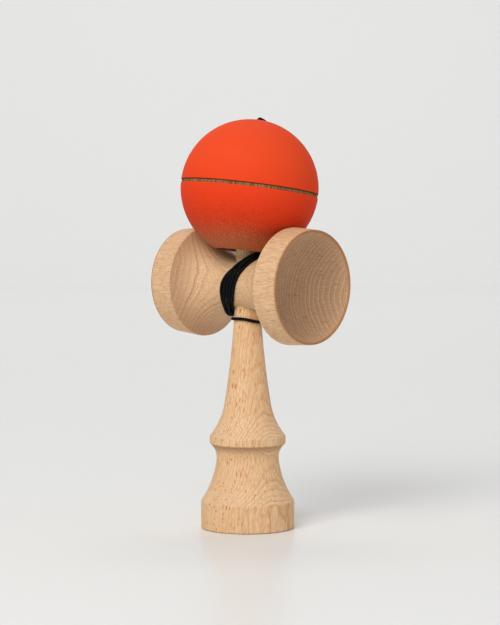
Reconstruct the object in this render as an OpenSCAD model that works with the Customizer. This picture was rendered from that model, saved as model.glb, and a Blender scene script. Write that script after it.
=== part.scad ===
// Kendama: a turned handle with a spike, a cross piece with two cups, and a ball on a string.
// Lengths are in millimetres. The handle's axis is Z, and its base stands on the plane z = 0.
// The cross piece lies along X with its larger cup towards +X, and its string hole opens towards +Y.
// The string is put away: it is wound round the cross piece and once round the handle's neck.

/* [Handle] */
// radius of the base's plain band
base_radius = 20.4; // [19.5:0.1:24]
// height of the base's plain band
base_band = 11.9; // [10:0.1:16]
// rounding of the edge that the base stands on
base_edge = 0.8; // [0.3:0.1:1.5]
// radius of the base cup's mouth
base_cup_radius = 17.8; // [14:0.1:18]
// depth of the base cup
base_cup_depth = 8; // [5:0.1:9.5]
// height from the base band to the foot's waist
foot_rise = 18.6; // [15:0.1:24]
// radius of the foot's waist
foot_waist_radius = 13.55; // [12:0.05:15]
// hollow of the foot's long curve, from its chord
foot_hollow = 1.2; // [0.4:0.05:1.8]
// height from the foot's waist to the collar
cove_rise = 6.8; // [5:0.1:9]
// hollow of the cove under the collar, from its chord
cove_hollow = 0.9; // [0.3:0.05:1.2]
// radius of the collar
collar_radius = 16.6; // [15.5:0.1:19]
// height of the collar's plain band
collar_band = 3.2; // [1.5:0.1:6]
// height from the collar to the slim part of the grip
flare_rise = 14.5; // [11:0.1:18]
// hollow of the flare above the collar, from its chord
flare_hollow = 1.1; // [0.4:0.05:1.5]
// radius where the flare runs into the grip
grip_radius = 10.1; // [8.5:0.1:12]
// height from the flare to the neck under the cross piece
grip_rise = 40.95; // [34:0.05:48]
// hollow of the grip's long curve, from its chord
grip_hollow = 0.57; // [0.2:0.01:0.9]
// radius of the neck at the cross piece's underside
neck_radius = 5.75; // [5.4:0.05:6.2]
// radius of the spike where it leaves the cross piece
spike_radius = 5.2; // [4.6:0.05:5.3]
// length of the spike above the cross piece
spike_length = 41.5; // [36:0.1:43]
// radius of the spike just below its rounded end
tip_radius = 3.5; // [2.5:0.1:4.2]
// height of the spike's rounded end
tip_dome = 1.6; // [0.8:0.1:2.4]

/* [Cross piece] */
// radius of the straight middle
barrel_radius = 11.1; // [10.4:0.05:11.4]
// half the length of the straight middle
barrel_half = 3; // [1:0.1:4]
// reach of the large cup's rim from the middle
large_reach = 38; // [34:0.1:42]
// radius of the large cup's rim, outside
large_rim_radius = 24.55; // [23:0.05:25]
// radius of the sharp edge behind the large cup
large_edge_radius = 25.35; // [24.8:0.05:27]
// width of the turned band behind the large cup's rim
large_band = 11.85; // [9:0.05:13.5]
// depth of the large cup
large_depth = 12.5; // [9:0.1:14]
// reach of the small cup's rim from the middle
small_reach = 36.55; // [33:0.05:40]
// radius of the small cup's rim, outside
small_rim_radius = 22.95; // [21:0.05:23.8]
// radius of the sharp edge behind the small cup
small_edge_radius = 24.1; // [23.6:0.05:26]
// width of the turned band behind the small cup's rim
small_band = 12.25; // [9:0.05:14]
// depth of the small cup
small_depth = 11.5; // [8:0.1:13]
// width of the flat rim of both cups
rim_width = 0.6; // [0.3:0.05:1.5]
// gap between the handle's tapered neck and its hole
neck_clearance = 0.05; // [0.02:0.01:0.15]

/* [Ball] */
// radius of the ball
ball_radius = 30; // [29:0.1:31]
// gap between the resting ball and the edges that carry it
ball_gap = 0.3; // [0.2:0.05:0.5]
// how far the resting ball lies towards the back
ball_back = 0.7; // [0:0.1:1.2]
// lean of the resting ball towards the back, in degrees
ball_lean_back = 8.6; // [6:0.1:10]
// lean of the resting ball towards the large cup, in degrees
ball_lean_side = 1.2; // [0:0.1:3]
// radius of the spike hole
spike_hole_radius = 10.8; // [10.7:0.05:11.2]
// radius of the spike hole's bevelled mouth
spike_mouth_radius = 11.8; // [11.5:0.05:12.5]
// depth of the bevel at the spike hole's mouth
spike_mouth_bevel = 1; // [0.4:0.1:2]
// height of the spike hole's ceiling over the ball's middle
spike_hole_ceiling = 21; // [19:0.1:24]
// width of the groove round the ball
groove_width = 1.6; // [0.8:0.1:2.4]
// depth of the groove round the ball
groove_depth = 0.6; // [0.3:0.1:2]
// height of the groove's middle over the ball's middle
groove_height = -0.2; // [-3:0.1:3]
// radius of the countersink at the string hole
countersink_radius = 2.2; // [1.6:0.1:3.2]
// depth of the countersink at the string hole
countersink_depth = 1.4; // [0.6:0.1:2.4]

/* [String] */
// diameter of the string
string_diameter = 1; // [0.8:0.05:1.1]
// gap between the string and what it lies on
string_clearance = 0.15; // [0.1:0.05:0.3]
// gap between the string on the ball and the ball
ball_string_gap = 0.3; // [0.2:0.05:0.6]
// radius of the string's holes
string_hole_radius = 0.8; // [0.7:0.05:1.2]
// radius of the string's bends where it leaves a hole
string_bend = 2.2; // [2.1:0.1:3]
// radius of the bead inside the ball
bead_radius = 4; // [2.5:0.1:6]
// length of the bead inside the ball
bead_length = 5; // [3:0.1:6]
// radius of the stopper knots
knot_radius = 1.5; // [1.3:0.05:1.9]

/* [Hidden] */
$fn = 96;
overrun = 1;
lap = 0.3;
contact_gap = 0.05;
beech = [0.87, 0.71, 0.55];
beech_light = [0.9, 0.76, 0.61];
orange_red = [0.93, 0.3, 0.17];
bead_wood = [0.78, 0.6, 0.42];
black_cord = [0.05, 0.05, 0.05];

// Heights along the handle, from the base up
waist_z = base_band + foot_rise;
collar_z = waist_z + cove_rise;
collar_top_z = collar_z + collar_band;
grip_z = collar_top_z + flare_rise;
neck_z = grip_z + grip_rise;
cross_z = neck_z + barrel_radius;
spike_z = cross_z + barrel_radius;
tip_z = spike_z + spike_length;
neck_taper = (neck_radius - spike_radius) / (spike_z - neck_z);

// Places of the sharp edges behind the two cups, along the cross piece
large_edge = large_reach - large_band;
small_edge = small_reach - small_band;

// The knots are balls of string with a flat face where the string comes out
knot_flat = sqrt(pow(knot_radius, 2) - pow(string_diameter / 2, 2));
knot_room = knot_radius + string_clearance;
knot_seat = neck_radius - 2 * knot_radius - 4 * string_clearance;
bead_top = spike_hole_ceiling - contact_gap;
bead_bottom = bead_top - bead_length;
bead_bore = string_diameter / 2 + string_clearance;
bead_bulge = (pow(bead_length / 2, 2) + pow(bead_radius / 4, 2)) / (bead_radius / 2);

// The resting ball lies on both sharp edges. One that is too small for them hangs on the spike's end
// or lies in the flares, so its middle is as high as the highest of these places over the cross piece
ball_reach = ball_radius + ball_gap;
edge_chord = [large_edge + small_edge, large_edge_radius - small_edge_radius];
edge_middle = [(large_edge - small_edge) / 2, (large_edge_radius + small_edge_radius) / 2];
edge_rise = sqrt(max(0, pow(ball_reach, 2) - pow(norm(edge_chord) / 2, 2)));
edge_place = edge_middle + edge_rise * [-edge_chord[1], edge_chord[0]] / norm(edge_chord);
function flare_bow(run, rise) = (pow(run, 2) + pow(rise, 2)) / (2 * rise);
large_bow = flare_bow(large_edge - barrel_half, large_edge_radius - barrel_radius);
small_bow = flare_bow(small_edge - barrel_half, small_edge_radius - barrel_radius);
function flare_place(bow, middle) =
    bow < ball_reach ? 0
    : barrel_radius + bow - sqrt(max(0, pow(bow - ball_reach, 2) - pow(edge_place[0] - middle, 2)));
knot_bottom = bead_bottom - contact_gap - knot_flat - knot_radius;
tip_place = tip_z + ball_gap - knot_bottom * cos(ball_lean_back) * cos(ball_lean_side) - cross_z;
flare_places = [flare_place(large_bow, barrel_half), flare_place(small_bow, -barrel_half)];
ball_place = max(concat([edge_place[1], tip_place], flare_places));
ball_middle = [edge_place[0], ball_back, cross_z + sqrt(pow(ball_place, 2) - pow(ball_back, 2))];
ball_axis = [
    cos(ball_lean_back) * sin(ball_lean_side),
    sin(ball_lean_back),
    cos(ball_lean_back) * cos(ball_lean_side)
];
mouth_height = -sqrt(pow(ball_radius, 2) - pow(spike_mouth_radius, 2));
countersink_height = sqrt(pow(ball_radius, 2) - pow(countersink_radius, 2));

// The winding's band: angles run round the cross piece from 0 at the back (+Y) over 90 at the top,
// 180 at the front and 270 underneath. The band passes the spike towards +X and the neck towards -X.
lane_narrow = 0.8;
lane_front = 1.8;
lane_back = 1.4;
lane_pitch = 1.64;
front_ease = 0.12;
spike_gap = 0.78;
neck_gap = 0.98;
band_front = -0.8;
band_back = -4.2;
band_top = spike_radius + spike_gap + string_diameter / 2 + 2 * lane_narrow;
band_under = -(neck_radius + neck_gap + string_diameter / 2 + 2 * lane_narrow);
sway_sine = 0.98;
sway_cosine = 0.28;
sway_skew = 0.38;

// Three turns lie side by side, and two more lie over the gaps between them. Each turn's lane is a
// count of lane steps from the band's middle, and the lanes change across the back.
lane_shares = [2, 2, 0, -2, -1, 1, 1];
change_from = [-60, -60, -62, -48, -108, -60];
change_to = [40, 36, 37, 43, 19, 40];
climb_from = -77;
climb_to = -48;
cross_from = -85;
cross_to = -55;
settle_from = 30;
settle_to = 55;
wind_first = 60;
wind_last = 1710;
wind_step = 15;

// Route of the string round the neck, as [angle round the handle, height from the cross piece's axis,
// distance out from the neck], and from there up the back to the ball
neck_route = [
    [150, -13.9, 0.7], [120, -14.5, 0.2], [90, -15.2, 0], [60, -15.9, 0], [30, -16.4, 0], [0, -16.5, 0],
    [-30, -15.8, 0], [-60, -15.1, 0], [-90, -15, 0], [-120, -15.2, 0], [-150, -15.4, 0], [-180, -15.7, 0],
    [-205, -16, 0.4], [-225, -16, 1.4]
];
back_route = [
    [-4.8, 8.4, -15], [-4.8, 10.8, -13.2], [-4.8, 13, -10.4], [-4.8, 14.9, -7], [-4.8, 15.9, -3.6]
];
back_end = [-4.8, 16.6, 0];
exit_slant = 40;
exit_reach = 4.5;

// Middle of the circle that passes through two outline points and bows inwards by the given hollow
function bow_radius(p, q, hollow) = (pow(norm(q - p) / 2, 2) + pow(hollow, 2)) / (2 * hollow);
function bow_middle(p, q, hollow) =
    (p + q) / 2 + (bow_radius(p, q, hollow) - hollow) * [q[1] - p[1], p[0] - q[0]] / norm(q - p);

// Radius of the ball-shaped hollow of a cup with the given mouth and depth
function cup_radius(mouth, depth) = (pow(mouth, 2) + pow(depth, 2)) / (2 * depth);

// Radius of the grip at a height below the cross piece
grip_low = [grip_radius, grip_z];
grip_high = [neck_radius, neck_z];
grip_bow = bow_radius(grip_low, grip_high, grip_hollow);
grip_centre = bow_middle(grip_low, grip_high, grip_hollow);
function grip_at(z) = grip_centre[0] - sqrt(pow(grip_bow, 2) - pow(z - grip_centre[1], 2));

// Radius of the cross piece's middle and flares at a place along it
function barrel_at(x) =
    let (bow = x > 0 ? large_bow : small_bow, run = max(0, abs(x) - barrel_half))
    barrel_radius + bow - sqrt(pow(bow, 2) - pow(run, 2));

// Smooth step from 0 at a to 1 at b
function ease(a, b, v) =
    let (s = min(1, max(0, (v - a) / (b - a))))
    s * s * (3 - 2 * s);

// The band's middle line and the step between its lanes, at an angle round the cross piece
band_mean = (band_top + band_under + band_front + band_back) / 4;
band_double = (band_front + band_back - band_top - band_under) / 4;
band_sine = (band_top - band_under) / 2 - sway_sine;
band_cosine = (band_back - band_front) / 2 - sway_cosine;
function band_at(a) =
    band_mean + band_sine * sin(a) + band_cosine * cos(a) + band_double * cos(2 * a)
    - sway_sine * sin(3 * a) + sway_cosine * cos(3 * a) + sway_skew * sin(2 * a);
function lane_wide(a) = (lane_front + lane_back) / 2 - (lane_front - lane_back) / 2 * cos(a);
function lane_spread(a) = cos(a) < 0 ? pow(cos(a), 2) : 1 - pow(sin(a), 4);
function lane_step(a) = lane_narrow + (lane_wide(a) - lane_narrow) * lane_spread(a);
function lane_apart(a) = lane_pitch - front_ease * pow(min(0, cos(a)), 2);
function band_slope(a) = (band_at(a + 1) - band_at(a - 1)) / 2 * 180 / PI / (barrel_radius + string_diameter);
function nest_lift(a) =
    sqrt(max(0, pow(lane_apart(a), 2) - pow(lane_step(a), 2) / (1 + pow(band_slope(a), 2))));

// Height of a turn over the bare wood: the last two turns lie over the first three, and pass over
// them with a full pitch of height where the lanes change
function pass_over(k, m) =
    let (risen = k == 3 ? ease(climb_from, climb_to, m) : ease(cross_from, cross_to, m))
    k < 3 || k > 4 ? 0 : risen * (1 - ease(settle_from, settle_to, m));
function lift_at(k, m, a) =
    let (climbed = k < 3 ? 0 : k == 3 ? ease(climb_from, climb_to, m) : 1, nested = climbed * nest_lift(a))
    nested + max(0, lane_pitch - nested) * pass_over(k, m);
function wind_at(a) =
    let (
        k = floor((a + 180) / 360),
        m = a - 360 * k,
        change = ease(change_from[k], change_to[k], m),
        x = band_at(a) + lane_step(a) * (lane_shares[k] * (1 - change) + lane_shares[k + 1] * change),
        r = barrel_at(x) + string_clearance + string_diameter / 2 + lift_at(k, m, a)
    )
    [x, r * cos(a), cross_z + r * sin(a)];

// Curves through points
function unit(v) = v / norm(v);
function bezier(p, q, r, s, count) = [
    for (i = [1 : count])
        let (t = i / count)
        pow(1 - t, 3) * p + 3 * t * pow(1 - t, 2) * q + 3 * t * t * (1 - t) * r + pow(t, 3) * s
];
function halfway(p, q, r, s) = (9 * (q + r) - (p + s)) / 16;
function doubled(pts) = [
    for (i = [1 : len(pts) - 3])
        each [pts[i], halfway(pts[i - 1], pts[i], pts[i + 1], pts[i + 2])]
];

// The run up the ball's back: straight to where it touches, then over the ball and into its string hole
run_start = [back_end[0], back_end[1], cross_z + back_end[2]];
run_radius = ball_radius + ball_string_gap + string_diameter / 2;
run_side = unit((run_start - ball_middle) - ((run_start - ball_middle) * ball_axis) * ball_axis);
run_far = norm(run_start - ball_middle);
run_angle = acos((run_start - ball_middle) * ball_axis / run_far);
touch_angle = run_angle - acos(run_radius / run_far);
bend_angle = asin(string_bend / (run_radius - string_bend));
string_top = (run_radius - string_bend) * cos(bend_angle);
run_straight = 12;
run_over = 26;
run_bend = 8;
function on_ball(angle, radius) = ball_middle + radius * (cos(angle) * ball_axis + sin(angle) * run_side);
touch = on_ball(touch_angle, run_radius);
run_path = concat(
    [for (i = [0 : run_straight - 1]) run_start + (touch - run_start) * i / run_straight],
    [
        for (i = [0 : run_over - 1])
            on_ball(touch_angle + (bend_angle - touch_angle) * i / run_over, run_radius)
    ],
    [
        for (i = [0 : run_bend])
            let (turn = bend_angle - (bend_angle + 90) * i / run_bend)
            on_ball(bend_angle, run_radius - string_bend)
                + string_bend * (cos(turn) * ball_axis + sin(turn) * run_side)
    ]
);
run_heading = unit(touch - run_start);

// The wound string: out of the handle and the cross piece, round the cross piece, round the neck, and up
exit_start = [0, -knot_seat - contact_gap, cross_z];
exit_mouth = [0, barrel_radius + string_clearance, cross_z];
exit_turn = [sin(exit_slant), 0, cos(exit_slant)];
exit_end = exit_mouth + string_bend * [0, 1, 0] + string_bend * exit_turn;
wind_start = wind_at(wind_first);
wind_heading = unit(wind_at(wind_first + 1) - wind_at(wind_first - 1));
exit_path = concat(
    [exit_start, (exit_start + exit_mouth) / 2],
    [
        for (i = [0 : 6])
            exit_mouth + string_bend * (sin(15 * i) * [0, 1, 0] + (1 - cos(15 * i)) * exit_turn)
    ],
    bezier(exit_end, exit_end + exit_reach * exit_turn, wind_start - exit_reach * wind_heading, wind_start, 6)
);
wind_path = [for (a = [wind_first + wind_step : wind_step : wind_last]) wind_at(a)];
neck_points = [
    for (p = neck_route)
        let (r = grip_at(cross_z + p[1]) + string_clearance + string_diameter / 2 + p[2])
        [r * cos(p[0]), r * sin(p[0]), cross_z + p[1]]
];
back_points = [for (p = back_route) [p[0], p[1], cross_z + p[2]]];
rise_points = concat(
    [wind_at(wind_last - wind_step), wind_at(wind_last)],
    neck_points,
    back_points,
    [run_start - string_diameter * run_heading, run_start]
);
rise_path = [for (i = [1 : len(doubled(rise_points)) - 1]) doubled(rise_points)[i]];
wrap_path = concat(exit_path, wind_path, rise_path, [run_start - string_diameter * run_heading, run_start]);

// Least gap of the wound string to itself, between points more than a few diameters apart along it
near_count = 6;
wrap_gap = min([
    for (i = [0 : len(wrap_path) - 1])
        for (j = [i + near_count : 1 : len(wrap_path) - 1])
            norm(wrap_path[i] - wrap_path[j])
]) - string_diameter;
function length_of(path) =
    let (steps = [for (i = [1 : len(path) - 1]) norm(path[i] - path[i - 1])])
    steps * [for (s = steps) 1];
echo(str("least gap of the wound string to itself, mm: ", wrap_gap));
echo(str("length of the wound string, mm: ", length_of(wrap_path)));
echo(str("length of its run to the ball, mm: ", length_of(run_path)));

// Tube of the given number of sides along a path, its rings carried along without twist
function heading_at(path, i) = unit(path[min(i + 1, len(path) - 1)] - path[max(i - 1, 0)]);
function square_to(v, heading) = unit(v - (v * heading) * heading);
function carried(path, first) = [
    for (
        i = 0, side = square_to(first, heading_at(path, 0));
        i < len(path);
        i = i + 1, side = square_to(side, heading_at(path, min(i, len(path) - 1)))
    )
        side
];
module tube(path, diameter, sides, first) {
    side_list = carried(path, first);
    rings = [
        for (i = [0 : len(path) - 1])
            let (across = cross(heading_at(path, i), side_list[i]))
            for (k = [0 : sides - 1])
                path[i] + diameter / 2 * (cos(360 * k / sides) * side_list[i] + sin(360 * k / sides) * across)
    ];
    last = (len(path) - 1) * sides;
    walls = [
        for (i = [0 : len(path) - 2])
            for (k = [0 : sides - 1])
                let (a = i * sides + k, b = i * sides + (k + 1) % sides)
                each [[a, a + sides, b], [b, a + sides, b + sides]]
    ];
    ends = [
        for (k = [1 : sides - 2])
            each [[0, k, k + 1], [last, last + k + 1, last + k]]
    ];
    polyhedron(points = rings, faces = concat(walls, ends), convexity = 10);
}

// Disc that hollows a turned outline between two of its points
module bow_cut(low_r, low_z, high_r, high_z, hollow) {
    low = [low_r, low_z];
    high = [high_r, high_z];
    translate(bow_middle(low, high, hollow)) circle(bow_radius(low, high, hollow));
}

// Outline of the base, with its rounded lower edge, and of the foot up to its waist
module foot_outline() {
    square([base_radius - base_edge, base_edge]);
    intersection() {
        translate([base_radius - base_edge, 0]) square(base_edge);
        translate([base_radius - base_edge, base_edge]) circle(base_edge);
    }
    difference() {
        translate([0, base_edge]) square([base_radius, waist_z + lap - base_edge]);
        bow_cut(base_radius, base_band, foot_waist_radius, waist_z, foot_hollow);
    }
}

// Outline of the collar, with the cove under it and the flare and the grip over it
module grip_outline() {
    difference() {
        translate([0, waist_z - lap]) square([collar_radius, neck_z - waist_z + 2 * lap]);
        bow_cut(foot_waist_radius, waist_z, collar_radius, collar_z, cove_hollow);
        bow_cut(collar_radius, collar_top_z, grip_radius, grip_z, flare_hollow);
        intersection() {
            bow_cut(grip_radius, grip_z, neck_radius, neck_z, grip_hollow);
            translate([0, grip_z - lap]) square([collar_radius + overrun, grip_rise + 3 * lap]);
        }
    }
}

// Outline of the tapered neck, the spike and its rounded end
module spike_outline() {
    spike_taper = (spike_radius - tip_radius) / (spike_length - tip_dome);
    tip_bow = cup_radius(tip_radius, tip_dome);
    polygon([
        [0, neck_z - lap],
        [neck_radius + lap * neck_taper, neck_z - lap],
        [spike_radius, spike_z],
        [0, spike_z]
    ]);
    difference() {
        polygon([
            [0, spike_z],
            [spike_radius, spike_z],
            [tip_radius - (tip_dome + lap) * spike_taper, tip_z + lap],
            [0, tip_z + lap]
        ]);
        difference() {
            translate([0, tip_z - tip_dome - lap]) square([spike_radius, tip_dome + lap + overrun]);
            translate([0, tip_z - tip_bow]) circle(tip_bow);
        }
    }
}

// The handle: base with its cup, collar, grip, tapered neck and spike, turned in one piece
module ken() {
    base_hollow = cup_radius(base_cup_radius, base_cup_depth);
    color(beech)
    difference() {
        rotate_extrude()
        difference() {
            union() {
                foot_outline();
                grip_outline();
                spike_outline();
            }
            translate([0, base_cup_depth - base_hollow]) circle(base_hollow);
        }
        translate([0, 0, cross_z]) rotate([-90, 0, 0]) translate([0, 0, -knot_seat - overrun])
        cylinder(h = knot_seat + neck_radius + 2 * overrun, r = string_hole_radius);
        translate([0, -knot_seat, cross_z]) rotate([90, 0, 0]) cylinder(h = neck_radius, r = knot_room);
    }
}

// Outline of half the cross piece: the band behind the rim runs on to the middle as a plain taper,
// and the middle, the flare and the cup are cut from it
module cup_outline(band, edge_radius, reach, rim_radius, depth, bow) {
    blank_radius = rim_radius + (edge_radius - rim_radius) * reach / band;
    hollow = cup_radius(rim_radius - rim_width, depth);
    difference() {
        polygon([[0, 0], [blank_radius, 0], [rim_radius, reach], [0, reach]]);
        translate([barrel_radius, -overrun]) square([blank_radius, barrel_half + overrun]);
        translate([barrel_radius + bow, barrel_half]) circle(bow);
        translate([0, reach - depth + hollow]) circle(hollow);
    }
}

// The cross piece: two cups back to back on a slim middle, bored for the handle and for the string
module sarado() {
    color(beech_light)
    difference() {
        translate([0, 0, cross_z]) rotate([0, 90, 0]) rotate_extrude() {
            cup_outline(large_band, large_edge_radius, large_reach, large_rim_radius, large_depth, large_bow);
            mirror([0, 1])
            cup_outline(small_band, small_edge_radius, small_reach, small_rim_radius, small_depth, small_bow);
        }
        translate([0, 0, neck_z - overrun])
        cylinder(
            h = spike_z - neck_z + 2 * overrun,
            r1 = neck_radius + neck_clearance + overrun * neck_taper,
            r2 = spike_radius + neck_clearance - overrun * neck_taper
        );
        translate([0, 0, cross_z]) rotate([-90, 0, 0])
        cylinder(h = barrel_radius + overrun, r = string_hole_radius);
    }
}

// Places a turned shape on the resting ball's axis, measured from the ball's middle
module on_ball_axis() {
    translate(ball_middle) rotate([-ball_lean_back, 0, 0]) rotate([0, ball_lean_side, 0]) children();
}

// Outline that bevels a hole's mouth, at the given height of the mouth, and runs on out of the ball
module bevel_cut(hole_radius, bevel_radius, height, depth) {
    past = overrun * sign(depth);
    polygon([
        [0, height - depth],
        [hole_radius, height - depth],
        [bevel_radius + (bevel_radius - hole_radius) * past / depth, height + past],
        [0, height + past]
    ]);
}

// The ball: spike hole with a bevelled mouth, a groove round its middle and a string hole at its top
module tama() {
    color(orange_red)
    on_ball_axis()
    rotate_extrude()
    difference() {
        intersection() {
            circle(ball_radius);
            translate([0, -ball_radius - overrun])
            square([ball_radius + overrun, 2 * ball_radius + 2 * overrun]);
        }
        translate([0, -ball_radius - overrun])
        square([spike_hole_radius, spike_hole_ceiling + ball_radius + overrun]);
        bevel_cut(spike_hole_radius, spike_mouth_radius, mouth_height, -spike_mouth_bevel);
        square([string_hole_radius, ball_radius + overrun]);
        bevel_cut(string_hole_radius, countersink_radius, countersink_height, countersink_depth);
        translate([ball_radius - groove_depth, groove_height - groove_width / 2])
        square([groove_depth + overrun, groove_width]);
    }
}

// The bead that holds the string's end inside the ball, and lets the ball turn on the string
module bead() {
    color(bead_wood)
    on_ball_axis()
    rotate_extrude()
    intersection() {
        translate([bead_bore, bead_bottom]) square([bead_radius, bead_length]);
        translate([bead_radius - bead_bulge, (bead_top + bead_bottom) / 2]) circle(bead_bulge);
    }
}

// A stopper knot, its flat face up at the height 0
module knot() {
    rotate_extrude()
    intersection() {
        translate([0, -knot_flat]) circle(knot_radius);
        translate([0, -knot_flat - knot_radius - overrun])
        square([knot_radius + overrun, knot_flat + knot_radius + overrun]);
    }
}

module bead_knot() {
    color(black_cord)
    on_ball_axis()
    translate([0, 0, bead_bottom - contact_gap]) knot();
}

module ken_knot() {
    color(black_cord)
    translate(exit_start) rotate([-90, 0, 0]) knot();
}

// The string inside the ball, from its top hole down through the bead to the knot
module string_end() {
    low = bead_bottom - contact_gap;
    color(black_cord)
    on_ball_axis()
    translate([0, 0, low]) cylinder(h = string_top - low, d = string_diameter);
}

// The string from the handle's knot through its winding to the back of the cross piece
module string_wrap() {
    color(black_cord)
    tube(wrap_path, string_diameter, 6, [0, 0, 1]);
}

// The string up the back of the ball and into its top hole
module string_run() {
    color(black_cord)
    tube(run_path, string_diameter, 8, [1, 0, 0]);
}

ken();
sarado();
tama();
bead();
bead_knot();
ken_knot();
string_end();
string_wrap();
string_run();
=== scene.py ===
import math

import bmesh
import bpy
from mathutils import Matrix, Vector


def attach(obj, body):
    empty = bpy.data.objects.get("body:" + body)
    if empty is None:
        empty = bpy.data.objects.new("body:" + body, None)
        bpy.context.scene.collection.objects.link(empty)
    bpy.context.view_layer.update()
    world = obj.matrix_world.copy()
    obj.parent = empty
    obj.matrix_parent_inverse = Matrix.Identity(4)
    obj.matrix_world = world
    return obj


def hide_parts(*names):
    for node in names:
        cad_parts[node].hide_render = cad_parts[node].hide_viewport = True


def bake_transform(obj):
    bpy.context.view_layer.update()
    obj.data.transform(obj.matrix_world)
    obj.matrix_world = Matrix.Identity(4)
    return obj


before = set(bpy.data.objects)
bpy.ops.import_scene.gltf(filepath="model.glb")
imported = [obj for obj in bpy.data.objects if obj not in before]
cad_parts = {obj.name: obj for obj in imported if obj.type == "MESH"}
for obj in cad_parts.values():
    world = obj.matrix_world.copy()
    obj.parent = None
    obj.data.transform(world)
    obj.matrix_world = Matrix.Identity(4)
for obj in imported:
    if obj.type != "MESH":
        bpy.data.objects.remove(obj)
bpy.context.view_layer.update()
scene = bpy.context.scene
scene.view_settings.view_transform = "Standard"

MM, TO_MM = 0.001, 1000

# Sizes in millimetres as in the CAD source, but for a shallower groove and a thicker string
BASE_R, BASE_BAND, BASE_EDGE = 20.4, 11.9, 0.8
BASE_CUP_R, BASE_CUP_DEPTH = 17.8, 8.0
WAIST_R, WAIST_Z, FOOT_HOLLOW = 13.55, 30.5, 1.2
COLLAR_R, COLLAR_Z, COLLAR_TOP, COVE_HOLLOW = 16.6, 37.3, 40.5, 0.9
GRIP_R, GRIP_Z, FLARE_HOLLOW = 10.1, 55.0, 1.1
NECK_R, NECK_Z, GRIP_HOLLOW = 5.75, 95.95, 0.57
SPIKE_R, SPIKE_Z = 5.2, 118.15
TIP_R, TIP_Z, TIP_DOME = 3.5, 159.65, 1.6
CROSS_Z = 107.05
BARREL_R, BARREL_HALF = 11.1, 3.0
LARGE = {"reach": 38.0, "rim": 24.55, "edge": 25.35, "band": 11.85, "depth": 12.5}
SMALL = {"reach": 36.55, "rim": 22.95, "edge": 24.1, "band": 12.25, "depth": 11.5}
RIM_WIDTH = 0.6
BALL_R = 30.0
BALL_C = Vector((0.509495, 0.7, 148.539))
BALL_AXIS = Vector((0.020707, 0.149535, 0.98854)).normalized()
HOLE_R, MOUTH_R, MOUTH_BEVEL, HOLE_TOP = 10.8, 11.8, 1.0, 21.0
GROOVE_W, GROOVE_D, GROOVE_Z = 1.6, 0.3, -0.2
STRING_HOLE_R, SINK_R, SINK_DEPTH = 0.8, 2.2, 1.4
KNOT_SEAT, KNOT_ROOM = 2.15, 1.65
STRING_D, CORD_SIDES = 1.36, 12

# Roundings of the corners along each outline, in the order of its stretches
KEN_CORNERS = [0.4, BASE_EDGE, 0.5, 1.2, 0.55, 0.55, 1.2, 0, 0, 0.5]
CROSS_CORNERS = [0, 0.5, 0.28, 0.22]
BALL_CORNERS = [0.1, 0.3, 0.2, 0.25, 0.12, 0.08, 0.08, 0.12, 0.3]
SPIN_STEPS = 192

# Gap round the neck in its bore, and how far the cutting rods reach past what they cut
BORE_GAP, BORE_SPARE = 0.05, 3
HOLE_SPARE_IN, HOLE_SPARE_OUT = 1, 2

# The camera stands where the photograph was taken from; dip and swing are in degrees
AZIMUTH = math.radians(42.6)
CAMERA_AWAY, CAMERA_HEIGHT = 1.095, 0.1771
CAMERA_DIP, CAMERA_SWING = 4.317, 0.053
SENSOR_WIDTH, LENS = 36, 145.05
RIGHT = Vector((math.cos(AZIMUTH), math.sin(AZIMUTH), 0))
TOWARDS = Vector((math.sin(AZIMUTH), -math.cos(AZIMUTH), 0))
camera_data = bpy.data.cameras.new("camera")
camera_data.sensor_width = SENSOR_WIDTH
camera_data.lens = LENS
camera_data.clip_start, camera_data.clip_end = 0.05, 30
camera = bpy.data.objects.new("camera", camera_data)
camera.location = TOWARDS * CAMERA_AWAY + Vector((0, 0, CAMERA_HEIGHT))
camera.rotation_euler = (math.radians(90 - CAMERA_DIP), 0, AZIMUTH - math.radians(CAMERA_SWING))
scene.collection.objects.link(camera)
scene.camera = camera


def ease(a, b, v):
    """Smooth step from 0 at a to 1 at b."""
    s = min(1, max(0, (v - a) / (b - a)))
    return s * s * (3 - 2 * s)


def built(name, bm):
    """Makes a piece of the scene from a finished mesh."""
    mesh = bpy.data.meshes.new(name)
    bm.to_mesh(mesh)
    bm.free()
    piece = bpy.data.objects.new(name, mesh)
    scene.collection.objects.link(piece)
    return piece


# String: the winding round the cross piece, the loop round the neck, and the run to the ball
def flare_bow(side):
    """Radius of the arc of one flared back of the cross piece."""
    run, rise = side["reach"] - side["band"] - BARREL_HALF, side["edge"] - BARREL_R
    return (run * run + rise * rise) / (2 * rise)


def barrel_at(x):
    """Radius of the cross piece between its cups, at a place along it."""
    bow = flare_bow(LARGE if x > 0 else SMALL)
    run = max(0, abs(x) - BARREL_HALF)
    return BARREL_R + bow - math.sqrt(bow * bow - run * run)


def bow_circle(p, q, hollow):
    """Centre and radius of the arc from p to q that is hollow by this much."""
    chord = (q - p).length
    radius = (chord * chord / 4 + hollow * hollow) / (2 * hollow)
    out = Vector((q.y - p.y, p.x - q.x)) / chord
    return (p + q) / 2 + out * (radius - hollow), radius


def grip_at(z):
    """Radius of the grip at a height."""
    centre, radius = bow_circle(Vector((GRIP_R, GRIP_Z)), Vector((NECK_R, NECK_Z)), GRIP_HOLLOW)
    return centre.x - math.sqrt(radius * radius - (z - centre.y) ** 2)


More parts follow.
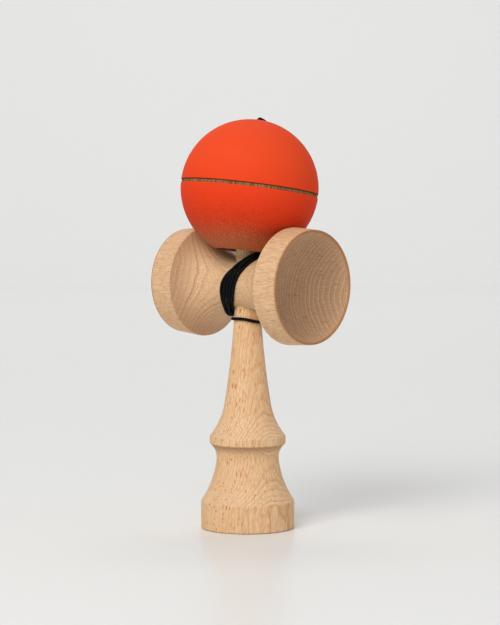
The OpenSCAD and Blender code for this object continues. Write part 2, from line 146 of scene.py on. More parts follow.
# The winding follows the CAD string's middle line
CAD_STRING_D, STRING_GAP, RUN_GAP = 1.0, 0.15, 0.3
LANE_NARROW, LANE_FRONT, LANE_BACK, LANE_PITCH, FRONT_EASE = 0.8, 1.8, 1.4, 1.64, 0.12
SPIKE_SPARE, NECK_SPARE = 0.78, 0.98
BAND_TOP = SPIKE_R + SPIKE_SPARE + CAD_STRING_D / 2 + 2 * LANE_NARROW
BAND_UNDER = -(NECK_R + NECK_SPARE + CAD_STRING_D / 2 + 2 * LANE_NARROW)
BAND_FRONT, BAND_BACK = -0.8, -4.2
SWAY_SINE, SWAY_COSINE, SWAY_SKEW = 0.98, 0.28, 0.38
# Lane of each turn, and the angles between which it changes to the next one
LANES = [2, 2, 0, -2, -1, 1, 1]
CHANGE_FROM = [-60, -60, -62, -48, -108, -60]
CHANGE_TO = [40, 36, 37, 43, 19, 40]
WIND_FIRST, WIND_LAST, WIND_STEP = 60, 1710, 3
# Turns of the upper layer, and the angles between which they climb, cross over and settle
FIRST_OVER, LAST_OVER = 3, 4
CLIMB, CROSS_OVER, SETTLE = (-77, -48), (-85, -55), (30, 55)


def band_at(angle):
    """Place of the winding's middle along the cross piece, at an angle round it."""
    a = math.radians(angle)
    mean = (BAND_TOP + BAND_UNDER + BAND_FRONT + BAND_BACK) / 4
    double = (BAND_FRONT + BAND_BACK - BAND_TOP - BAND_UNDER) / 4
    sine = (BAND_TOP - BAND_UNDER) / 2 - SWAY_SINE
    cosine = (BAND_BACK - BAND_FRONT) / 2 - SWAY_COSINE
    place = mean + sine * math.sin(a) + cosine * math.cos(a) + double * math.cos(2 * a)
    return place - SWAY_SINE * math.sin(3 * a) + SWAY_COSINE * math.cos(3 * a) + SWAY_SKEW * math.sin(2 * a)


def wind_at(angle):
    """Point of the winding at an angle that counts on from turn to turn."""
    k = math.floor((angle + 180) / 360)
    m = angle - 360 * k
    a = math.radians(angle)
    wide = (LANE_FRONT + LANE_BACK) / 2 - (LANE_FRONT - LANE_BACK) / 2 * math.cos(a)
    spread = math.cos(a) ** 2 if math.cos(a) < 0 else 1 - math.sin(a) ** 4
    step = LANE_NARROW + (wide - LANE_NARROW) * spread
    apart = LANE_PITCH - FRONT_EASE * min(0, math.cos(a)) ** 2
    change = ease(CHANGE_FROM[k], CHANGE_TO[k], m)
    x = band_at(angle) + step * (LANES[k] * (1 - change) + LANES[k + 1] * change)
    slope = math.degrees(band_at(angle + 1) - band_at(angle - 1)) / 2 / (BARREL_R + CAD_STRING_D)
    nest = math.sqrt(max(0, apart**2 - step**2 / (1 + slope**2)))
    climb = ease(*CLIMB, m)
    nest *= 0 if k < FIRST_OVER else climb if k == FIRST_OVER else 1
    over = {FIRST_OVER: climb, LAST_OVER: ease(*CROSS_OVER, m)}.get(k, 0)
    lift = nest + max(0, LANE_PITCH - nest) * over * (1 - ease(*SETTLE, m))
    r = barrel_at(x) + STRING_GAP + CAD_STRING_D / 2 + lift
    return Vector((x, r * math.cos(a), CROSS_Z + r * math.sin(a)))


# Loop round the neck: angle, height above the cross piece's middle, and extra distance off the neck
NECK_ROUTE = [
    (150, -13.9, 0.7), (120, -14.5, 0.2), (90, -15.2, 0), (60, -15.9, 0), (30, -16.4, 0), (0, -16.5, 0),
    (-30, -15.8, 0), (-60, -15.1, 0), (-90, -15, 0), (-120, -15.2, 0), (-150, -15.4, 0), (-180, -15.7, 0),
    (-205, -16, 0.4), (-225, -16, 1.4),
]
# Way up behind the cross piece: y, and height above its middle, all at the same x
BACK_X = -4.8
BACK_ROUTE = [(8.4, -15), (10.8, -13.2), (13, -10.4), (14.9, -7), (15.9, -3.6)]
RUN_START = Vector((BACK_X, 16.6, CROSS_Z))
STRING_BEND, RUN_R = 2.2, BALL_R + RUN_GAP + CAD_STRING_D / 2
# Start in the neck, the slant at the hole's mouth, and the straight lead from there to the winding
NECK_START, NECK_STEP, NECK_POINTS = -2.2, 1.5, 9
EXIT_SLANT, LEAD = math.radians(40), 4.5
EXIT_STEPS, LEAD_STEPS, NECK_STEPS, RUN_STEPS, WRAP_STEPS, TOP_STEPS = 12, 24, 6, 44, 80, 14
# String inside the ball: distances of its two ends from the ball's middle
END_TOP, END_LOW, END_STEPS = 28.5153, 15.9, 20


def smooth_through(points, count):
    """Points on a smooth curve through all but the first and the last of the given points."""
    made = []
    for i in range(1, len(points) - 2):
        p, q, r, s = points[i - 1 : i + 3]
        square, cube = 2 * p - 5 * q + 4 * r - s, 3 * q - p - 3 * r + s
        for j in range(count):
            t = j / count
            made.append(0.5 * (2 * q + (r - p) * t + square * t * t + cube * t**3))
    return made


def string_route():
    """The string's middle line in metres, from the knot in the neck to the string hole of the ball."""
    side = RUN_START - BALL_C
    far = side.length
    run_angle = math.acos(side.dot(BALL_AXIS) / far)
    side = (side - side.dot(BALL_AXIS) * BALL_AXIS).normalized()
    touch_angle = run_angle - math.acos(RUN_R / far)
    bend_angle = math.asin(STRING_BEND / (RUN_R - STRING_BEND))

    def on_ball(angle, radius):
        return BALL_C + radius * (math.cos(angle) * BALL_AXIS + math.sin(angle) * side)

    touch = on_ball(touch_angle, RUN_R)
    heading = (touch - RUN_START).normalized()
    mouth = Vector((0, BARREL_R + STRING_GAP, CROSS_Z))
    slant = Vector((math.sin(EXIT_SLANT), 0, math.cos(EXIT_SLANT)))
    along = Vector((0, 1, 0))
    route = [Vector((0, NECK_START + NECK_STEP * i, CROSS_Z)) for i in range(NECK_POINTS)]
    for i in range(EXIT_STEPS):
        a = math.radians(90 / EXIT_STEPS * i)
        route.append(mouth + STRING_BEND * (math.sin(a) * along + (1 - math.cos(a)) * slant))
    start = wind_at(WIND_FIRST)
    into = (wind_at(WIND_FIRST + 1) - wind_at(WIND_FIRST - 1)).normalized()
    p = mouth + STRING_BEND * (along + slant)
    q, r = p + LEAD * slant, start - LEAD * into
    for i in range(LEAD_STEPS):
        t = i / LEAD_STEPS
        route.append((1 - t) ** 3 * p + 3 * t * (1 - t) ** 2 * q + 3 * t * t * (1 - t) * r + t**3 * start)
    route += [wind_at(a) for a in range(WIND_FIRST, WIND_LAST, WIND_STEP)]
    neck = []
    for angle, drop, out in NECK_ROUTE:
        radius = grip_at(CROSS_Z + drop) + STRING_GAP + CAD_STRING_D / 2 + out
        a = math.radians(angle)
        neck.append(Vector((radius * math.cos(a), radius * math.sin(a), CROSS_Z + drop)))
    back = [Vector((BACK_X, y, CROSS_Z + z)) for y, z in BACK_ROUTE]
    first = [wind_at(WIND_LAST - 5 * WIND_STEP), wind_at(WIND_LAST)]
    last = [RUN_START, RUN_START + 2 * heading]
    route += smooth_through(first + neck + back + last, NECK_STEPS)
    length = (touch - RUN_START).length
    route += [RUN_START + heading * length * i / RUN_STEPS for i in range(RUN_STEPS)]
    for i in range(WRAP_STEPS):
        route.append(on_ball(touch_angle + (bend_angle - touch_angle) * i / WRAP_STEPS, RUN_R))
    pivot = on_ball(bend_angle, RUN_R - STRING_BEND)
    for i in range(TOP_STEPS + 1):
        turn = bend_angle - (bend_angle + math.pi / 2) * i / TOP_STEPS
        route.append(pivot + STRING_BEND * (math.cos(turn) * BALL_AXIS + math.sin(turn) * side))
    return [p * MM for p in route]


def tube(name, path, radius):
    """A tube along a path; in its UV map u is the way along it in diameters and v the way round it."""
    sides = CORD_SIDES
    turns = [2 * math.pi * k / sides for k in range(sides)]
    bm = bmesh.new()
    uv = bm.loops.layers.uv.new("along")
    normal = Vector((0, 0, 1))
    rings, travelled = [], [0]
    for i, p in enumerate(path):
        heading = (path[min(i + 1, len(path) - 1)] - path[max(i - 1, 0)]).normalized()
        normal = (normal - normal.dot(heading) * heading).normalized()
        across = heading.cross(normal)
        spokes = [math.cos(t) * normal + math.sin(t) * across for t in turns]
        rings.append([bm.verts.new(p + radius * spoke) for spoke in spokes])
        if i:
            travelled.append(travelled[-1] + (p - path[i - 1]).length)
    for i in range(len(path) - 1):
        for k in range(sides):
            n = (k + 1) % sides
            face = bm.faces.new((rings[i][k], rings[i + 1][k], rings[i + 1][n], rings[i][n]))
            face.smooth = True
            places = ((i, k), (i + 1, k), (i + 1, k + 1), (i, k + 1))
            for loop, (ring, turn) in zip(face.loops, places):
                loop[uv].uv = (travelled[ring] / (2 * radius), turn / sides)
    bm.faces.new(rings[0])
    bm.faces.new(list(reversed(rings[-1])))
    bmesh.ops.recalc_face_normals(bm, faces=bm.faces)
    return built(name, bm), travelled[-1]


route = string_route()
string, string_length = tube("string", route, STRING_D / 2 * MM)
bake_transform(string)
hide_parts("string_wrap", "string_run")
end_places = [END_TOP - (END_TOP - END_LOW) * i / END_STEPS for i in range(END_STEPS + 1)]
end_path = [(BALL_C + BALL_AXIS * place) * MM for place in end_places]
string_end, _ = tube("string_end_cord", end_path, STRING_D / 2 * MM)
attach(string_end, "bead")
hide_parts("string_end")


# Turned pieces: an outline of radius and height is rounded at its corners and spun
def arc_points(p, q, hollow, count):
    """An arc from p to q in so many steps, hollow by this much."""
    p, q = Vector(p), Vector(q)
    centre, radius = bow_circle(p, q, hollow)
    a = math.atan2(p.y - centre.y, p.x - centre.x) % (2 * math.pi)
    b = math.atan2(q.y - centre.y, q.x - centre.x) % (2 * math.pi)
    turns = [a + (b - a) * i / count for i in range(count + 1)]
    return [(centre.x + radius * math.cos(t), centre.y + radius * math.sin(t)) for t in turns]


def line_points(p, q, count):
    """A straight line from p to q in so many steps."""
    across, up = q[0] - p[0], q[1] - p[1]
    return [(p[0] + across * i / count, p[1] + up * i / count) for i in range(count + 1)]


def cup_points(mouth, depth, place, into, count):
    """A round hollow from its deepest point to its mouth; into is 1 where it runs up from the mouth."""
    radius = (mouth * mouth + depth * depth) / (2 * depth)
    centre = place + into * (depth - radius)
    half = math.asin(mouth / radius)
    turns = [half * i / count for i in range(count + 1)]
    return [(radius * math.sin(t), centre + into * radius * math.cos(t)) for t in turns]


def outline(stretches, roundings):
    """Joins stretches of an outline end to end, with a small arc of the given size at each corner."""
    made = list(stretches[0])
    for stretch, size in zip(stretches[1:], roundings):
        corner = Vector(stretch[0])
        if not size:
            made += stretch[1:]
            continue
        before = [p for p in made if (Vector(p) - corner).length > size]
        after = [p for p in stretch if (Vector(p) - corner).length > size]
        start = corner + (Vector(before[-1]) - corner).normalized() * size
        end = corner + (Vector(after[0]) - corner).normalized() * size
        shares = [i / 6 for i in range(7)]
        arc = [tuple((1 - t) ** 2 * start + 2 * t * (1 - t) * corner + t * t * end) for t in shares]
        made = before + arc + after
    return made


def turned(name, points, place):
    """Spins an outline round its axis and puts it in place, smooth all over."""
    bm = bmesh.new()
    verts = [bm.verts.new((r * MM, 0, z * MM)) for r, z in points]
    edges = [bm.edges.new(pair) for pair in zip(verts, verts[1:])]
    bmesh.ops.spin(
        bm,
        geom=verts + edges,
        cent=(0, 0, 0),
        axis=(0, 0, 1),
        angle=2 * math.pi,
        steps=SPIN_STEPS,
        use_merge=True,
    )
    bmesh.ops.remove_doubles(bm, verts=bm.verts, dist=1e-6)
    bmesh.ops.recalc_face_normals(bm, faces=bm.faces)
    for face in bm.faces:
        face.smooth = True
    bmesh.ops.transform(bm, matrix=place, verts=bm.verts)
    return built(name, bm)


def ken_outline():
    dome = (TIP_R**2 + TIP_DOME**2) / (2 * TIP_DOME)
    half = math.asin(TIP_R / dome)
    tip = [half * (1 - i / 12) for i in range(13)]
    return outline(
        [
            cup_points(BASE_CUP_R, BASE_CUP_DEPTH, 0, 1, 30),
            line_points((BASE_CUP_R, 0), (BASE_R, 0), 4),
            line_points((BASE_R, 0), (BASE_R, BASE_BAND), 20),
            arc_points((BASE_R, BASE_BAND), (WAIST_R, WAIST_Z), FOOT_HOLLOW, 26),
            arc_points((WAIST_R, WAIST_Z), (COLLAR_R, COLLAR_Z), COVE_HOLLOW, 16),
            line_points((COLLAR_R, COLLAR_Z), (COLLAR_R, COLLAR_TOP), 10),
            arc_points((COLLAR_R, COLLAR_TOP), (GRIP_R, GRIP_Z), FLARE_HOLLOW, 22),
            arc_points((GRIP_R, GRIP_Z), (NECK_R, NECK_Z), GRIP_HOLLOW, 40),
            line_points((NECK_R, NECK_Z), (SPIKE_R, SPIKE_Z), 20),
            line_points((SPIKE_R, SPIKE_Z), (TIP_R, TIP_Z - TIP_DOME), 34),
            [(dome * math.sin(t), TIP_Z - dome + dome * math.cos(t)) for t in tip],
        ],
        KEN_CORNERS,
    )


def half_cross(side):
    """Stretches of one half of the cross piece's outline, from its middle out and down into the cup."""
    edge = side["reach"] - side["band"]
    bow = flare_bow(side)
    span = math.asin((edge - BARREL_HALF) / bow)
    turns = [span * i / 34 for i in range(35)]
    flare = [(BARREL_R + bow - bow * math.cos(t), BARREL_HALF + bow * math.sin(t)) for t in turns]
    mouth = side["rim"] - RIM_WIDTH
    return [
        line_points((BARREL_R, 0), (BARREL_R, BARREL_HALF), 8),
        flare,
        line_points((side["edge"], edge), (side["rim"], side["reach"]), 20),
        line_points((side["rim"], side["reach"]), (mouth, side["reach"]), 2),
        list(reversed(cup_points(mouth, side["depth"], side["reach"], -1, 36))),
    ]


def cross_outline():
    large = outline(half_cross(LARGE), CROSS_CORNERS)
    small = outline(half_cross(SMALL), CROSS_CORNERS)
    return [(r, -z) for r, z in reversed(small)] + large[1:]


def ball_outline():
    def on_ball(z):
        return math.sqrt(BALL_R * BALL_R - z * z)

    def shell(low, high, count):
        a, b = math.asin(low / BALL_R), math.asin(high / BALL_R)
        turns = [a + (b - a) * i / count for i in range(count + 1)]
        return [(BALL_R * math.cos(t), BALL_R * math.sin(t)) for t in turns]

    mouth_z = -math.sqrt(BALL_R**2 - MOUTH_R**2)
    sink_z = math.sqrt(BALL_R**2 - SINK_R**2)
    low, high = GROOVE_Z - GROOVE_W / 2, GROOVE_Z + GROOVE_W / 2
    floor_r = BALL_R - GROOVE_D
    return outline(
        [
            line_points((STRING_HOLE_R, sink_z - SINK_DEPTH), (STRING_HOLE_R, HOLE_TOP), 8),
            line_points((STRING_HOLE_R, HOLE_TOP), (HOLE_R, HOLE_TOP), 10),
            line_points((HOLE_R, HOLE_TOP), (HOLE_R, mouth_z + MOUTH_BEVEL), 40),
            line_points((HOLE_R, mouth_z + MOUTH_BEVEL), (MOUTH_R, mouth_z), 4),
            shell(mouth_z, low, 60),
            line_points((on_ball(low), low), (floor_r, low), 4),
            line_points((floor_r, low), (floor_r, high), 6),
            line_points((floor_r, high), (on_ball(high), high), 4),
            shell(high, sink_z, 60),
            line_points((SINK_R, sink_z), (STRING_HOLE_R, sink_z - SINK_DEPTH), 6),
        ],
        BALL_CORNERS,
    )


def cut_with(piece, cutters):
    """Cuts the pieces in cutters out of a piece and removes them."""
    for cutter in cutters:
        cut = piece.modifiers.new("cut", "BOOLEAN")
        cut.object, cut.operation, cut.solver = cutter, "DIFFERENCE", "EXACT"
    bpy.context.view_layer.update()
    cut_piece = piece.evaluated_get(bpy.context.evaluated_depsgraph_get())
    done = bpy.data.meshes.new_from_object(cut_piece)
    piece.modifiers.clear()
    piece.data = done
    for cutter in cutters:
        bpy.data.objects.remove(cutter)


def rod(name, low_r, high_r, length, place):
    """A round rod to cut with, which starts at its place and runs up the place's own z."""
    bm = bmesh.new()
    bmesh.ops.create_cone(
        bm,
        cap_ends=True,
        segments=64,
        radius1=low_r * MM,
        radius2=high_r * MM,
        depth=length * MM,
        matrix=place @ Matrix.Translation((0, 0, length * MM / 2)),
    )
    for face in bm.faces:
        face.smooth = len(face.verts) == 4
    return built(name, bm)


BALL_FRAME = BALL_AXIS.to_track_quat("Z", "Y").to_matrix().to_4x4()
BALL_PLACE = Matrix.Translation(BALL_C * MM) @ BALL_FRAME
ALONG_Y, AGAINST_Y = Matrix.Rotation(-math.pi / 2, 4, "X"), Matrix.Rotation(math.pi / 2, 4, "X")
CROSS_PLACE = Matrix.Translation((0, 0, CROSS_Z * MM)) @ Matrix.Rotation(math.pi / 2, 4, "Y")

handle = turned("handle", ken_outline(), Matrix.Identity(4))
neck_hole = rod(
    "neck_hole",
    STRING_HOLE_R,
    STRING_HOLE_R,
    KNOT_SEAT + NECK_R + HOLE_SPARE_IN + HOLE_SPARE_OUT,
    Matrix.Translation((0, -(KNOT_SEAT + HOLE_SPARE_IN) * MM, CROSS_Z * MM)) @ ALONG_Y,
)
knot_pocket = rod(
    "knot_pocket",
    KNOT_ROOM,
    KNOT_ROOM,
    NECK_R,
    Matrix.Translation((0, -KNOT_SEAT * MM, CROSS_Z * MM)) @ AGAINST_Y,
)
cut_with(handle, [neck_hole, knot_pocket])
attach(handle, "ken")
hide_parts("ken")

cross = turned("cross_piece", cross_outline(), CROSS_PLACE)
taper = (NECK_R - SPIKE_R) / (SPIKE_Z - NECK_Z)
bore = rod(
    "bore",
    NECK_R + BORE_GAP + BORE_SPARE * taper,
    SPIKE_R + BORE_GAP - BORE_SPARE * taper,
    SPIKE_Z - NECK_Z + 2 * BORE_SPARE,
    Matrix.Translation((0, 0, (NECK_Z - BORE_SPARE) * MM)),
)
string_hole = rod(
    "string_hole",
    STRING_HOLE_R,
    STRING_HOLE_R,
    BARREL_R + HOLE_SPARE_OUT,
    Matrix.Translation((0, 0, CROSS_Z * MM)) @ ALONG_Y,
)
cut_with(cross, [bore, string_hole])
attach(cross, "ken")
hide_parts("sarado")

ball = turned("ball", ball_outline(), BALL_PLACE)
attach(ball, "tama")
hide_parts("tama")


# Materials

# Depths under the ball's surface: bare wood from the first, full paint up to the second
BARE_DEPTH, PAINT_DEPTH = 0.16, 0.09
# How far in from a cup's reach its worn edge starts and is full
WEAR_START, WEAR_FULL = 0.9, 0.4
CORD_DARK, CORD_PALE = (0.0012, 0.0012, 0.0015), (0.0055, 0.0055, 0.006)


class Value:
    """A node's output that takes part in sums."""

    def __init__(self, shader, socket):
        self.shader, self.socket = shader, socket

    def math(self, operation, *others):
        node = self.shader.add("ShaderNodeMath", list((self,) + others), operation=operation)
        return Value(self.shader, node.outputs[0])

    def __add__(self, other):
        return self.math("ADD", other)

    def __sub__(self, other):
        return self.math("SUBTRACT", other)

    def __rsub__(self, other):
        return self.math("MULTIPLY", -1).math("ADD", other)

    def __mul__(self, other):
        return self.math("MULTIPLY", other)

    def __truediv__(self, other):
        return self.math("DIVIDE", other)

    def __pow__(self, other):
        return self.math("POWER", other)

    __radd__, __rmul__ = __add__, __mul__

    def between(self, low, high):
        """Smooth step from 0 at low to 1 at high."""
        inputs = {"Value": self, "From Min": low, "From Max": high}
        node = self.shader.add("ShaderNodeMapRange", inputs, interpolation_type="SMOOTHSTEP")
        return Value(self.shader, node.outputs[0])

    def dot(self, vector):
        node = self.shader.add("ShaderNodeVectorMath", [self, tuple(vector)], operation="DOT_PRODUCT")
        return Value(self.shader, node.outputs["Value"])


class Shader:
    """A material made of nodes."""

    def __init__(self, name):
        self.material = bpy.data.materials.new(name)
        self.material.use_nodes = True
        self.tree = self.material.node_tree
        self.surface = self.tree.nodes["Principled BSDF"]

    def add(self, kind, inputs, **settings):
        node = self.tree.nodes.new(kind)
        for key, value in settings.items():
            setattr(node, key, value)
        for key, value in inputs.items() if isinstance(inputs, dict) else enumerate(inputs):
            if isinstance(value, Value):
                self.tree.links.new(value.socket, node.inputs[key])
            else:
                node.inputs[key].default_value = value
        return node

    def place(self):
        return Value(self, self.add("ShaderNodeTexCoord", {}).outputs["Object"])

    def joined(self, x, y, z):
        return Value(self, self.add("ShaderNodeCombineXYZ", [x, y, z]).outputs[0])

    def noise(self, vector, detail, roughness=0.5):
        inputs = {"Vector": vector, "Scale": 1.0, "Detail": detail, "Roughness": roughness}
        return Value(self, self.add("ShaderNodeTexNoise", inputs).outputs[0])

    def facing(self):
        return Value(self, self.add("ShaderNodeTexCoord", {}).outputs["Normal"])

    def cells(self, vector):
        """Distance to the nearest of many scattered points, and a chance value of that point."""
        node = self.add("ShaderNodeTexVoronoi", {"Vector": vector, "Scale": 1.0})
        pick = self.add("ShaderNodeSeparateColor", [Value(self, node.outputs["Color"])])
        return Value(self, node.outputs["Distance"]), Value(self, pick.outputs[0])

    def chance(self, value):
        node = self.add("ShaderNodeTexWhiteNoise", {"W": value}, noise_dimensions="1D")
        return Value(self, node.outputs[0])

    def mix(self, share, low, high):
        node = self.add("ShaderNodeMix", {}, data_type="RGBA")
        # A mix node's sockets for the share and for the two colours, among those of its other kinds
        sockets = (node.inputs[0], node.inputs[6], node.inputs[7])
        for socket, value in zip(sockets, (share, low, high)):
            if isinstance(value, Value):
                self.tree.links.new(value.socket, socket)
            else:
                socket.default_value = value if isinstance(value, float) else (*value, 1)
        return Value(self, node.outputs[2])

    def bump(self, height, strength, distance):
        node = self.add("ShaderNodeBump", {"Strength": strength, "Distance": distance, "Height": height})
        return Value(self, node.outputs[0])

    def finish(self, colour, roughness, normal):
        for key, value in (("Base Color", colour), ("Roughness", roughness), ("Normal", normal)):
            self.tree.links.new(value.socket, self.surface.inputs[key])
        return self.material


def beech(name, middle, grain, growth, ring_width, ring_bend, tone, slant_tone_and_sheen, shares, rims=()):
    """Beech with its growth rings, ray flecks and fibres.

    grain is the way of the fibres, growth the way from ring to ring as seen from the piece's middle,
    and ring_bend the distance from there to the tree's heart. The flares cut the rings on a slant, and
    the cups' insides, cut across the fibres, get a dark colour with pale ring lines, partly end grain
    and partly painted shade of the hollows. tone tints the sides and the slant tint the slanted cuts;
    on the handle the slant tint, lighter and paler, is a painted sheen. shares are the strengths of
    rings, flecks, fine lines and slanted cuts, and rims are places along the grain with a worn edge.
    """

    def shade(*colour):
        return tuple(c * s for c, s in zip(colour, tone))

    ring_share, fleck_share, line_share, slant_share = shares
    shader = Shader(name)
    place = shader.place()
    grain, growth, middle = Vector(grain).normalized(), Vector(growth).normalized(), Vector(middle)
    across = grain.cross(growth)
    g, r, t = (place.dot(axis) * TO_MM - middle.dot(axis) for axis in (grain, growth, across))
    sway = shader.noise(shader.joined(r * 0.05, t * 0.05, g * 0.02), 2.0)
    ripple = shader.noise(shader.joined(r * 0.6, t * 0.6, g * 0.15), 2.0)
    depth = ((r + ring_bend) ** 2.0 + t * t) ** 0.5 + (sway - 0.5) * 5.0 + (ripple - 0.5) * 0.7
    phase = depth / ring_width
    part = phase.math("FRACT")
    year = shader.chance(phase.math("FLOOR")) * 0.75 + 0.25
    ring = part.between(0.35, 0.9) ** 2.0 * (1 - part.between(0.93, 1.0)) * year
    pale = (part - 0.5).math("ABSOLUTE").between(0.25, 0.49) * year
    wander = shader.noise(shader.joined(r * 0.3, t * 0.3, g * 0.1), 2.0) - 0.5
    fleck_r, fleck_t = r * 0.6 + wander, (t + wander * 0.8 - g * 0.2) * 2.9
    near, pick = shader.cells(shader.joined(fleck_r, fleck_t, g * 0.24))
    fleck = (1 - near.between(0.12, 0.44)) * pick.between(0.1, 0.8)
    fibre = shader.noise(shader.joined(r * 4.0, t * 4.0, g * 0.22), 3.0, 0.6)
    line = shader.noise(shader.joined(r * 4.0, t * 4.0, g * 0.1), 2.0, 0.6).between(0.54, 0.66)
    ray = shader.noise(shader.joined(r * 0.35, t * 4.5, g * 0.25), 2.0, 0.6).between(0.5, 0.72)
    mottle = shader.noise(shader.joined(r * 0.7, t * 0.9, g * 0.2), 3.0, 0.6).between(0.3, 0.7)
    patch = shader.noise(shader.joined(r * 0.05, t * 0.05, g * 0.03), 2.0).between(0.3, 0.7)
    lean = shader.facing().dot(grain) * g.math("SIGN")
    flare, cup = (lean * -slant_share).between(0.2, 0.9), lean.between(0.25, 0.8)
    steep = (lean * -slant_share).between(0.95, 1.6)

    side = shader.mix(patch, shade(0.89, 0.63, 0.385), shade(0.84, 0.565, 0.33))
    side = shader.mix(mottle * 0.75, side, shade(0.78, 0.475, 0.235))
    side = shader.mix(ring * ring_share, side, shade(0.62, 0.31, 0.12))
    # Slant tint of the slanted cuts; on the handle it is lighter and paler, a painted sheen on the flares
    slant = tuple(c * s for c, s in zip((0.85, 0.57, 0.32), slant_tone_and_sheen))
    slant = shader.mix(mottle * 0.3, slant, shade(0.80, 0.495, 0.25))
    slant = shader.mix(steep * 0.7, slant, shade(0.56, 0.34, 0.2))
    slant = shader.mix(ring, slant, shade(0.46, 0.235, 0.105))
    slant = shader.mix(pale * 0.6, slant, shade(0.93, 0.67, 0.43))
    slant = shader.mix(ray * steep * 0.5, slant, shade(0.46, 0.25, 0.12))
    colour = shader.mix(flare, side, slant)
    colour = shader.mix(fibre.between(0.45, 0.66) * 0.6, colour, shade(0.62, 0.36, 0.18))
    colour = shader.mix(line * (flare * 0.3 + line_share), colour, shade(0.48, 0.245, 0.105))
    colour = shader.mix(fleck * (1 - flare * 0.5) * fleck_share, colour, shade(0.52, 0.20, 0.052))
    # Inside the cups: a dark colour that is partly end grain and partly painted shade of the hollows
    end = shader.mix(ring * 0.7, (0.475, 0.275, 0.153), (0.29, 0.156, 0.082))
    end = shader.mix(pale * 0.9, end, (0.69, 0.46, 0.283))
    end = shader.mix(ray * 0.9, end, (0.26, 0.136, 0.066))
    colour = shader.mix(cup, colour, end)
    for low, high in rims:
        edge = g.between(low, high) * (fibre.between(0.35, 0.6) * 0.5 + 0.45)
        colour = shader.mix(edge, colour, (0.43, 0.175, 0.055))
    roughness = 0.5 + fibre * 0.12 + fleck * 0.06 + cup * 0.15
    normal = shader.bump(fibre * 0.5 - fleck * 0.15 - line * 0.2, 0.3, 0.0001)
    shader.surface.inputs["Specular IOR Level"].default_value = 0.3
    return shader.finish(colour, roughness, normal)


def painted_ball():
    """Red paint that thins towards the spike hole and is deeper red lower down as painted shade, with bare
    wood in the groove and the holes, and a painted shadow along the groove's top.
    """
    shader = Shader("painted_wood")
    inverse = BALL_FRAME.transposed()
    place = shader.place()
    offset = -(inverse @ (BALL_C * MM))
    x, y, z = ((place.dot(inverse[i][:3]) + offset[i]) * TO_MM for i in range(3))
    reach = (x * x + y * y + z * z) ** 0.5
    fibre = shader.noise(shader.joined(x * 2.0, y * 2.0, z * 0.2), 3.0, 0.65)
    speckle = shader.noise(shader.joined(x * 1.6, y * 1.6, z * 0.9), 4.0, 0.7)
    cloud = shader.noise(shader.joined(x * 0.07, y * 0.07, z * 0.07), 2.0)
    thin = (z * -1 + (cloud - 0.5) * 6).between(0.0, 26.0)
    wood = shader.mix(fibre.between(0.35, 0.65), (0.50, 0.205, 0.085), (0.31, 0.112, 0.044))
    paint = shader.mix(cloud, (0.84, 0.077, 0.02), (0.81, 0.069, 0.018))
    # Deeper red lower down: painted shade on the ball's lower side
    paint = shader.mix(1 - z.between(-8.0, 14.0), paint, (0.81, 0.052, 0.0125))
    stain = shader.mix(fibre.between(0.34, 0.66) * 0.85, (0.66, 0.045, 0.009), (0.26, 0.017, 0.005))
    colour = shader.mix(thin * 0.8, paint, stain)
    colour = shader.mix(thin**6.0 * (speckle.between(0.3, 0.7) * 0.5 + 0.45), colour, wood)
    bare = 1 - reach.between(BALL_R - BARE_DEPTH, BALL_R - PAINT_DEPTH)
    bare_wood_and_shadow = shader.mix(fibre.between(0.38, 0.62), (0.40, 0.19, 0.075), (0.10, 0.042, 0.018))
    # Dark line along the top of the groove floor: a painted shadow under the groove's upper lip
    bare_wood_and_shadow = shader.mix(z.between(GROOVE_Z + 0.1, GROOVE_Z + 0.6) * 0.9, bare_wood_and_shadow, (0.03, 0.014, 0.008))
    colour = shader.mix(bare, colour, bare_wood_and_shadow)
    roughness = 0.58 + bare * 0.2 + speckle * 0.08
    normal = shader.bump(speckle * 0.5 + fibre * thin, 0.12, 0.0001)
    shader.surface.inputs["Specular IOR Level"].default_value = 0.05
    return shader.finish(colour, roughness, normal)


def braided_cord():
    """Black cord whose strands cross, laid out by the way along the string."""
    shader = Shader("braided_cord")
    uv = Value(shader, shader.add("ShaderNodeUVMap", {}, uv_map="along").outputs[0])
    u, v = uv.dot((1, 0, 0)), uv.dot((0, 1, 0))
    turn = 2 * math.pi
    one = ((u * 1.1 + v * 4) * turn).math("SINE")
    two = ((u * 1.1 - v * 4) * turn).math("SINE")
    weave = one.math("MAXIMUM", two) * 0.5 + 0.5
    thread = shader.noise(shader.joined(u * 6, v * 60, 0.0), 2.0)
    colour = shader.mix(weave * 0.6 + thread * 0.4, CORD_DARK, CORD_PALE)
    roughness = 0.62 + thread * 0.2
    normal = shader.bump(weave + thread * 0.3, 0.4, 0.00015)
    shader.surface.inputs["Specular IOR Level"].default_value = 0.11
    return shader.finish(colour, roughness, normal)


def plain_cord():
    """The same black cord pulled into a knot."""
    shader = Shader("knotted_cord")
    place = shader.place()
    x, y, z = (place.dot(axis) * TO_MM for axis in ((1, 0, 0), (0, 1, 0), (0, 0, 1)))
    strand = ((x + y + z) * 4.0).math("SINE") * 0.5 + 0.5
    thread = shader.noise(shader.joined(x * 3, y * 3, z * 3), 2.0)
    colour = shader.mix(strand * 0.6 + thread * 0.4, CORD_DARK, CORD_PALE)
    normal = shader.bump(strand + thread * 0.3, 0.6, 0.0002)
    return shader.finish(colour, 0.62 + thread * 0.2, normal)


def dress(piece, material):
    piece.data.materials.clear()
    piece.data.materials.append(material)


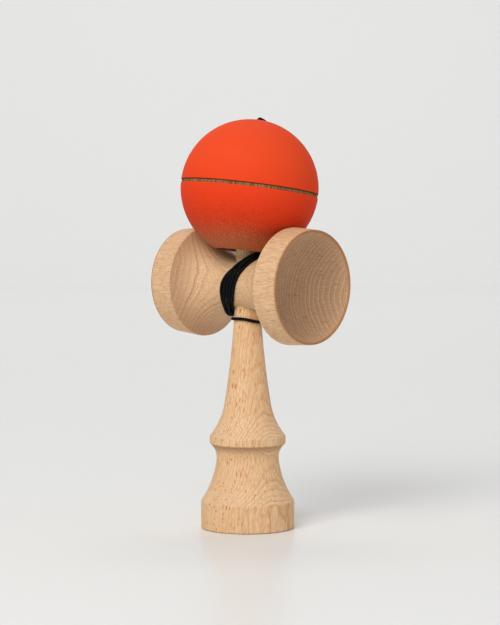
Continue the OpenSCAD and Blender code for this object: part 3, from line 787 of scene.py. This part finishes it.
cord_material, knot_material = braided_cord(), plain_cord()
handle_beech = beech(
    "beech_handle",
    middle=(0, 0, 80),
    grain=(0, 0, 1),
    growth=(1, -0.04, 0),
    ring_width=1.1,
    ring_bend=45.0,
    tone=(1, 1, 1),
    # Lighter, paler slanted cuts: a painted sheen on the handle's flares
    slant_tone_and_sheen=(1.03, 1.13, 1.35),
    shares=(0.8, 1.0, 0.3, 1.0),
)
rims = [
    (LARGE["reach"] - WEAR_START, LARGE["reach"] - WEAR_FULL),
    (-SMALL["reach"] + WEAR_START, -SMALL["reach"] + WEAR_FULL),
]
cross_beech = beech(
    "beech_cross",
    middle=(0, 0, CROSS_Z),
    grain=(1, 0, 0),
    growth=(0, 1, -0.2),
    ring_width=2.0,
    ring_bend=-110.0,
    tone=(0.905, 0.89, 0.91),
    slant_tone_and_sheen=(0.965, 0.965, 1.0),
    shares=(0.25, 0.3, 0.75, 1.8),
    rims=rims,
)
bead_beech = beech(
    "beech_bead",
    middle=BALL_C,
    grain=BALL_AXIS,
    growth=(1, 0, 0),
    ring_width=1.5,
    ring_bend=30.0,
    tone=(1, 1, 1),
    slant_tone_and_sheen=(1, 1, 1),
    shares=(0.4, 0.5, 0.2, 1.0),
)
dress(handle, handle_beech)
dress(cross, cross_beech)
dress(ball, painted_ball())
dress(string, cord_material)
dress(string_end, cord_material)
for name in ("bead_knot", "ken_knot"):
    dress(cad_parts[name], knot_material)
dress(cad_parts["bead"], bead_beech)


# Stage: a pale sweep behind and under the toy, and soft lamps
FLOOR_FRONT, FLOOR_BACK, SWEEP_R, SWEEP_STEPS = -4.0, 1.6, 1.6, 24
WALL_TOP, SWEEP_HALF = 5.0, 5


def sweep():
    """Paper that lies flat in front, bends up behind and ends as a wall."""
    bm = bmesh.new()
    side = [(FLOOR_FRONT, 0.0), (FLOOR_BACK, 0.0)]
    for i in range(1, SWEEP_STEPS + 1):
        a = math.pi / 2 * i / SWEEP_STEPS
        side.append((FLOOR_BACK + SWEEP_R * math.sin(a), SWEEP_R - SWEEP_R * math.cos(a)))
    side.append((FLOOR_BACK + SWEEP_R, WALL_TOP))
    places = [-TOWARDS * back - RIGHT * SWEEP_HALF + Vector((0, 0, up)) for back, up in side]
    verts = [bm.verts.new(place) for place in places]
    edges = [bm.edges.new(pair) for pair in zip(verts, verts[1:])]
    made = bmesh.ops.extrude_edge_only(bm, edges=edges)
    moved = [v for v in made["geom"] if isinstance(v, bmesh.types.BMVert)]
    bmesh.ops.translate(bm, vec=RIGHT * (2 * SWEEP_HALF), verts=moved)
    bmesh.ops.recalc_face_normals(bm, faces=bm.faces)
    for face in bm.faces:
        face.smooth = True
    return built("sweep", bm)


backdrop = sweep()
paper = bpy.data.materials.new("paper")
paper.use_nodes = True
paper_surface = paper.node_tree.nodes["Principled BSDF"].inputs
paper_surface["Base Color"].default_value = (0.85, 0.85, 0.84, 1)
paper_surface["Roughness"].default_value = 0.27
paper_surface["Specular IOR Level"].default_value = 0.06
dress(backdrop, paper)


def lamp(name, place, aim, size, power, tint):
    """A square soft lamp that looks at the point aim."""
    data = bpy.data.lights.new(name, "AREA")
    data.shape, data.size, data.energy, data.color = "SQUARE", size, power, tint
    made = bpy.data.objects.new(name, data)
    made.location = place
    made.rotation_mode = "QUATERNION"
    made.rotation_quaternion = (Vector(aim) - made.location).to_track_quat("-Z", "Y")
    scene.collection.objects.link(made)
    return made


key = lamp(
    "key",
    place=-RIGHT * 0.7 + TOWARDS * 1.4 + Vector((0, 0, 1.4)),
    aim=(0, 0, 0.1),
    size=1.1,
    power=28.6,
    tint=(1.0, 0.985, 0.96),
)
fill = lamp(
    "fill",
    place=RIGHT * 1.5 + TOWARDS * 0.5 + Vector((0, 0, 0.18)),
    aim=(0, 0, 0.06),
    size=0.32,
    power=2.4,
    tint=(1.0, 0.99, 0.97),
)
wall = lamp(
    "wall",
    place=-TOWARDS * 1.3 + Vector((0, 0, 2.6)),
    aim=-TOWARDS * 3.2 + Vector((0, 0, 0.7)),
    size=2.0,
    power=33,
    tint=(1, 1, 1),
)

world = bpy.data.worlds.new("studio")
world.use_nodes = True
world_light = world.node_tree.nodes["Background"].inputs
world_light["Color"].default_value = (0.98, 0.99, 1.0, 1)
world_light["Strength"].default_value = 0.36
scene.world = world
